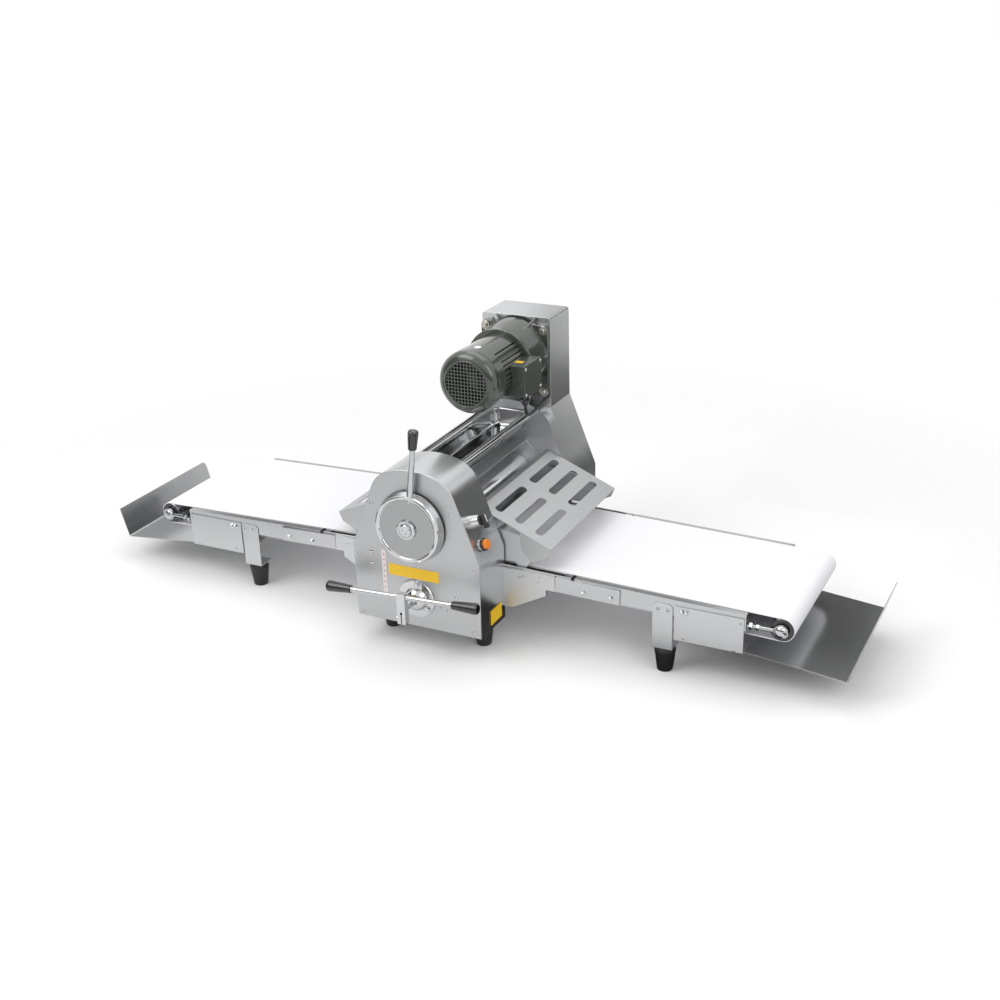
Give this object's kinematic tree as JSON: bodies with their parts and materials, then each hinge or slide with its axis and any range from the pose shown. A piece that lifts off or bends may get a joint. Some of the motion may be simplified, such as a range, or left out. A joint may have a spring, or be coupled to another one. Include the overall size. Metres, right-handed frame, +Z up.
{
  "type": "dough_sheeter",
  "caption": "Table-top electric dough sheeter: two polished rollers between bullet-shaped housings, belt tables left and right, thickness dial, direction lever, gear motor on top",
  "frame": {"origin": "bottom centre of the machine on the floor plane of its feet, midway front to back", "axes": "X along the conveyor tables, Y from the operator to the motor casing, Z up"},
  "size_m": [2.1048, 0.7986, 0.704],
  "materials": {
    "sheet_steel": "satin",
    "polished_steel": "polished",
    "chrome": "mirror",
    "machined_steel": "machined",
    "rubber": "matt",
    "black_plastic": "semi-gloss",
    "cast_paint": "hammered green-grey",
    "orange_plastic": "gloss",
    "belt_cloth": "smooth white cloth"
  },
  "bodies": {
    "frame": {"front_plate": "sheet_steel", "front_cover": "sheet_steel", "front_side_plate": "sheet_steel", "rear_side_plate": "sheet_steel", "rear_cover": "sheet_steel", "motor_box": "sheet_steel", "inner_bed_right": "sheet_steel", "outer_bed_right": "sheet_steel", "front_leg_right": "sheet_steel", "rear_leg_right": "sheet_steel", "end_frame_right": "sheet_steel", "catch_pan_right": "sheet_steel", "inner_bed_left": "sheet_steel", "outer_bed_left": "sheet_steel", "front_leg_left": "sheet_steel", "rear_leg_left": "sheet_steel", "end_frame_left": "sheet_steel", "catch_pan_left": "sheet_steel", "roller_hood": "polished_steel", "direction_flange": "polished_steel", "upper_rod_right": "chrome", "upper_rod_left": "chrome", "drive_chain": "machined_steel", "belt_chain": "machined_steel", "motor_lead": "rubber", "front_foot_right": "rubber", "front_foot_left": "rubber", "front_table_foot_right": "rubber", "front_table_foot_left": "rubber", "rear_foot_right": "rubber", "rear_foot_left": "rubber", "rear_table_foot_right": "rubber", "rear_table_foot_left": "rubber", "gearbox": "cast_paint", "motor_body": "cast_paint", "fan_cowl": "cast_paint", "terminal_box": "cast_paint", "conveyor_belt_right": "belt_cloth", "conveyor_belt_left": "belt_cloth"},
    "upper_roller": {"upper_roller": "chrome"},
    "lower_roller": {"lower_roller": "chrome"},
    "lift_carriage": {"lift_block_front": "machined_steel", "lift_block_rear": "machined_steel"},
    "lift_shaft": {"lift_shaft": "machined_steel"},
    "thickness_dial": {"thickness_dial": "chrome", "thickness_grip": "black_plastic"},
    "direction_lever": {"direction_lever": "chrome", "direction_grip_right": "black_plastic", "direction_grip_left": "black_plastic"},
    "guard_right": {"guard_right": "sheet_steel"},
    "guard_left": {"guard_left": "sheet_steel"},
    "flour_tray": {"flour_tray": "polished_steel"},
    "motor_fan": {"motor_fan": "black_plastic"},
    "output_shaft": {"output_shaft": "machined_steel"},
    "switch_knob": {"switch_knob": "black_plastic"},
    "push_button": {"push_button": "orange_plastic"},
    "drive_roller_right": {"drive_roller_right": "polished_steel"},
    "end_roller_right": {"end_roller_right": "polished_steel"},
    "drive_roller_left": {"drive_roller_left": "polished_steel"},
    "end_roller_left": {"end_roller_left": "polished_steel"}
  },
  "joints": [
    {"name": "lower_roller_spin", "type": "hinge", "parent": "frame", "child": "lower_roller", "pos_m": [0, 0.02625, 0.156], "axis": [0, 1, 0], "continuous": true},
    {"name": "roller_lift", "type": "slide", "parent": "frame", "child": "lift_carriage", "axis": [0, 0, 1], "range_m": [-0.006, 0.022]},
    {"name": "upper_roller_spin", "type": "hinge", "parent": "lift_carriage", "child": "upper_roller", "pos_m": [0, 0.02625, 0.279], "axis": [0, 1, 0], "continuous": true},
    {"name": "lift_shaft_turn", "type": "hinge", "parent": "frame", "child": "lift_shaft", "pos_m": [0, 0.02625, 0.383], "axis": [0, 1, 0], "range_deg": [-110, 30]},
    {"name": "thickness_dial_turn", "type": "hinge", "parent": "frame", "child": "thickness_dial", "pos_m": [-0.004, -0.33075, 0.338], "axis": [0, 1, 0], "range_deg": [-30, 110]},
    {"name": "direction_lever_turn", "type": "hinge", "parent": "frame", "child": "direction_lever", "pos_m": [-0.001, -0.38475, 0.144], "axis": [0, 1, 0], "range_deg": [-15, 15]},
    {"name": "guard_right_lift", "type": "hinge", "parent": "frame", "child": "guard_right", "pos_m": [0.106, 0.02625, 0.345], "axis": [0, -1, 0], "range_deg": [0, 95]},
    {"name": "guard_left_lift", "type": "hinge", "parent": "frame", "child": "guard_left", "pos_m": [-0.106, 0.02625, 0.345], "axis": [0, 1, 0], "range_deg": [0, 95]},
    {"name": "flour_tray_lift", "type": "slide", "parent": "frame", "child": "flour_tray", "axis": [0, 0, 1], "range_m": [0, 0.045]},
    {"name": "output_shaft_spin", "type": "hinge", "parent": "frame", "child": "output_shaft", "pos_m": [0, 0.32625, 0.588], "axis": [0, 1, 0], "continuous": true},
    {"name": "motor_fan_spin", "type": "hinge", "parent": "frame", "child": "motor_fan", "pos_m": [0, 0.02625, 0.603], "axis": [0, 1, 0], "continuous": true},
    {"name": "switch_turn", "type": "hinge", "parent": "frame", "child": "switch_knob", "pos_m": [0.16799, -0.27875, 0.36957], "axis": [0.9323, 0, 0.3616], "range_deg": [0, 90]},
    {"name": "button_press", "type": "slide", "parent": "frame", "child": "push_button", "axis": [-0.9323, 0, -0.3616], "range_m": [0, 0.004], "stiffness_N_per_m": 800},
    {"name": "drive_roller_right_spin", "type": "hinge", "parent": "frame", "child": "drive_roller_right", "pos_m": [0.095, 0.02625, 0.189], "axis": [0, 1, 0], "continuous": true},
    {"name": "end_roller_right_spin", "type": "hinge", "parent": "frame", "child": "end_roller_right", "pos_m": [0.87, 0.02625, 0.166], "axis": [0, 1, 0], "continuous": true},
    {"name": "drive_roller_left_spin", "type": "hinge", "parent": "frame", "child": "drive_roller_left", "pos_m": [-0.095, 0.02625, 0.189], "axis": [0, 1, 0], "continuous": true},
    {"name": "end_roller_left_spin", "type": "hinge", "parent": "frame", "child": "end_roller_left", "pos_m": [-0.87, 0.02625, 0.166], "axis": [0, 1, 0], "continuous": true}
  ],
  "couplings": [
    {"joint": "upper_roller_spin", "follows": "lower_roller_spin", "ratio": -1},
    {"joint": "output_shaft_spin", "follows": "lower_roller_spin", "ratio": 1.2857},
    {"joint": "motor_fan_spin", "follows": "lower_roller_spin", "ratio": 15.429},
    {"joint": "roller_lift", "follows": "thickness_dial_turn", "m_per_rad": 0.01146},
    {"joint": "lift_shaft_turn", "follows": "thickness_dial_turn", "ratio": -1},
    {"joint": "drive_roller_right_spin", "follows": "lower_roller_spin", "ratio": 2.2222},
    {"joint": "end_roller_right_spin", "follows": "lower_roller_spin", "ratio": 1.9425},
    {"joint": "drive_roller_left_spin", "follows": "lower_roller_spin", "ratio": 2.2222},
    {"joint": "end_roller_left_spin", "follows": "lower_roller_spin", "ratio": 1.9425}
  ]
}
